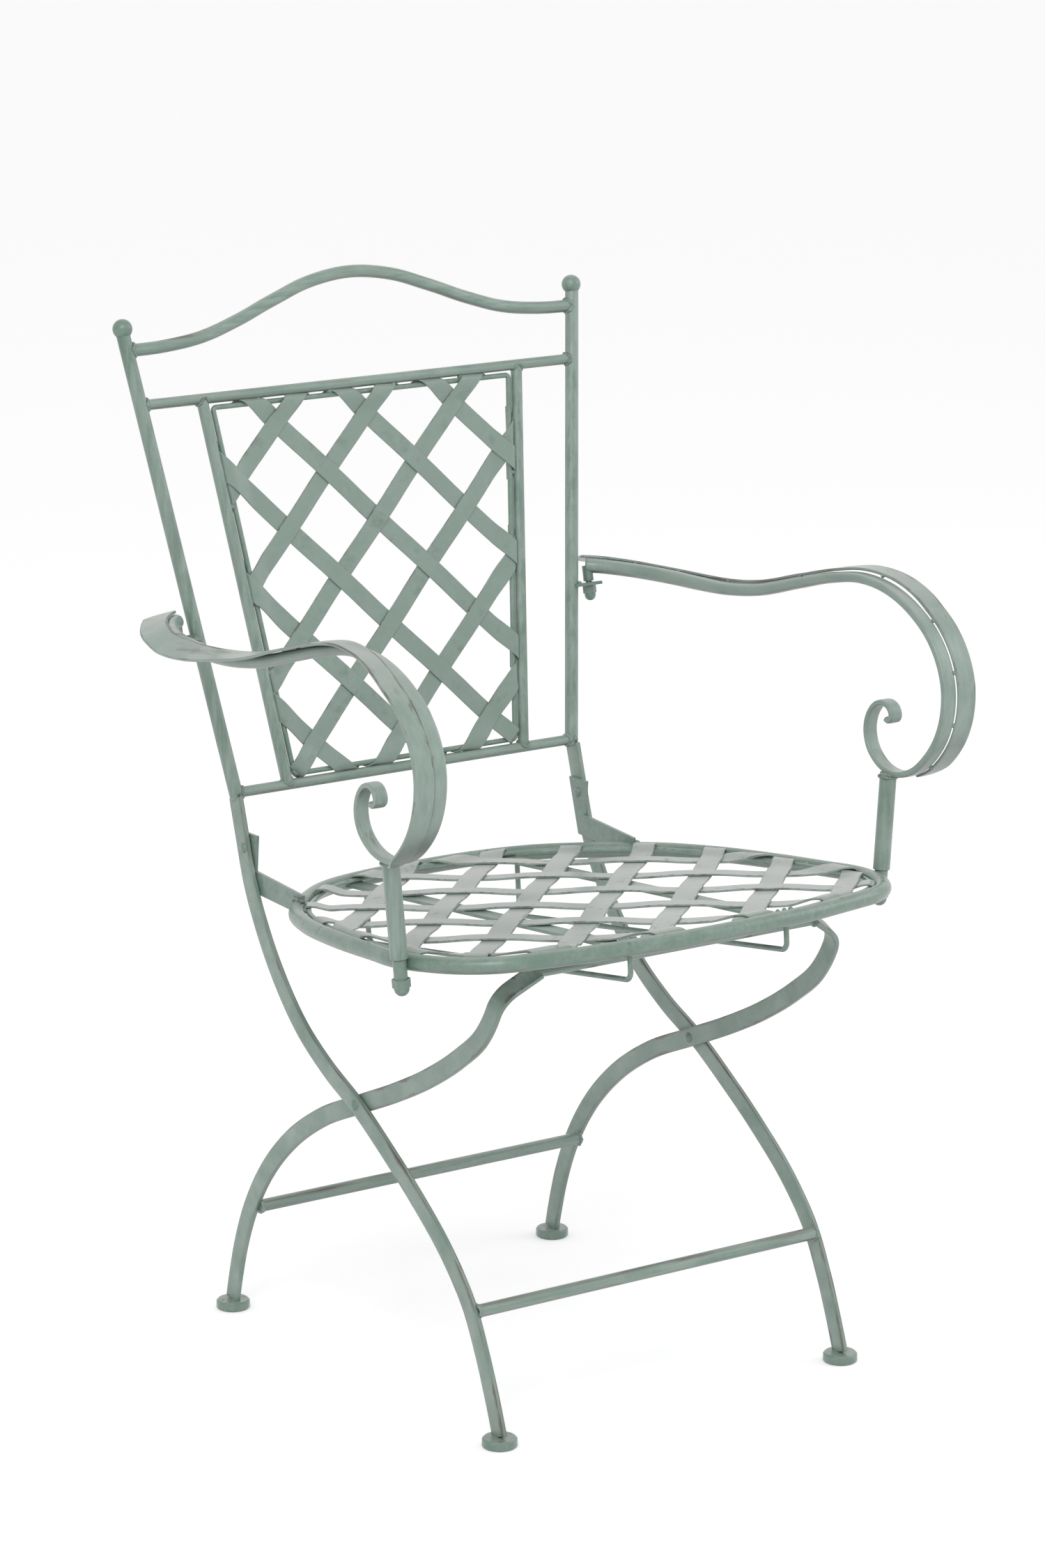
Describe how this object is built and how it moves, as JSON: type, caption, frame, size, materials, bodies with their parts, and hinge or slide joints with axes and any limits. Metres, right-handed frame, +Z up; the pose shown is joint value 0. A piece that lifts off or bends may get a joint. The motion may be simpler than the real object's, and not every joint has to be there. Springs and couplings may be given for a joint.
{
  "type": "folding garden armchair",
  "caption": "Folding metal garden armchair with a woven strap seat and back, scrolled arms and crossing curved legs.",
  "frame": {"origin": "on the floor under the middle of the chair's bounding box", "axes": "+X to the sitter's left, +Y from the front to the back, +Z up"},
  "size_m": [0.6166, 0.5901, 0.9804],
  "materials": {
    "frame_paint": "antique green satin paint, chalky and brushed, with brown rubbed through on edges and welds",
    "fixing_paint": "the same green paint on domed nuts and rivets, a little darker and more worn"
  },
  "bodies": {
    "back_frame": {"arm_lug_left": "frame_paint", "arm_lug_right": "frame_paint", "back_straps_falling": "frame_paint", "back_straps_rising": "frame_paint", "crown_rail": "frame_paint", "finial_left": "frame_paint", "finial_right": "frame_paint", "front_foot_left": "frame_paint", "front_foot_right": "frame_paint", "front_leg_left": "frame_paint", "front_leg_right": "frame_paint", "front_stretcher": "frame_paint", "hinge_rivets": "fixing_paint", "leg_rivets": "fixing_paint", "lower_rail": "frame_paint", "panel_rod": "frame_paint", "stile_left": "frame_paint", "stile_right": "frame_paint", "upper_rail": "frame_paint", "upright_left": "frame_paint", "upright_right": "frame_paint"},
    "seat": {"arm_band_left": "frame_paint", "arm_band_right": "frame_paint", "arm_bar_left": "frame_paint", "arm_bar_right": "frame_paint", "arm_post_left": "frame_paint", "arm_post_right": "frame_paint", "lug_nuts": "fixing_paint", "lug_shoulders": "fixing_paint", "lug_studs": "fixing_paint", "post_bolts": "fixing_paint", "post_nuts": "fixing_paint", "post_sleeve_left": "frame_paint", "post_sleeve_right": "frame_paint", "seat_bracket_left": "frame_paint", "seat_bracket_right": "frame_paint", "seat_rim": "frame_paint", "seat_rod": "frame_paint", "seat_straps_falling": "frame_paint", "seat_straps_rising": "frame_paint", "slide_loop_left": "frame_paint", "slide_loop_right": "frame_paint", "slide_rail_left": "frame_paint", "slide_rail_right": "frame_paint"},
    "rear_legs": {"rear_foot_left": "frame_paint", "rear_foot_right": "frame_paint", "rear_leg_left": "frame_paint", "rear_leg_right": "frame_paint", "rear_stretcher": "frame_paint", "slide_bar": "frame_paint"}
  },
  "joints": [
    {"name": "seat_fold", "type": "hinge", "parent": "back_frame", "child": "seat", "pos_m": [0, 0.177, 0.464], "axis": [-1, 0, 0], "range_deg": [0, 39.5]},
    {"name": "rear_leg_fold", "type": "hinge", "parent": "back_frame", "child": "rear_legs", "pos_m": [0, -0.007, 0.26], "axis": [-1, 0, 0], "range_deg": [0, 58]}
  ],
  "couplings": [
    {"joint": "rear_leg_fold", "follows": "seat_fold", "ratio": 1.45}
  ]
}
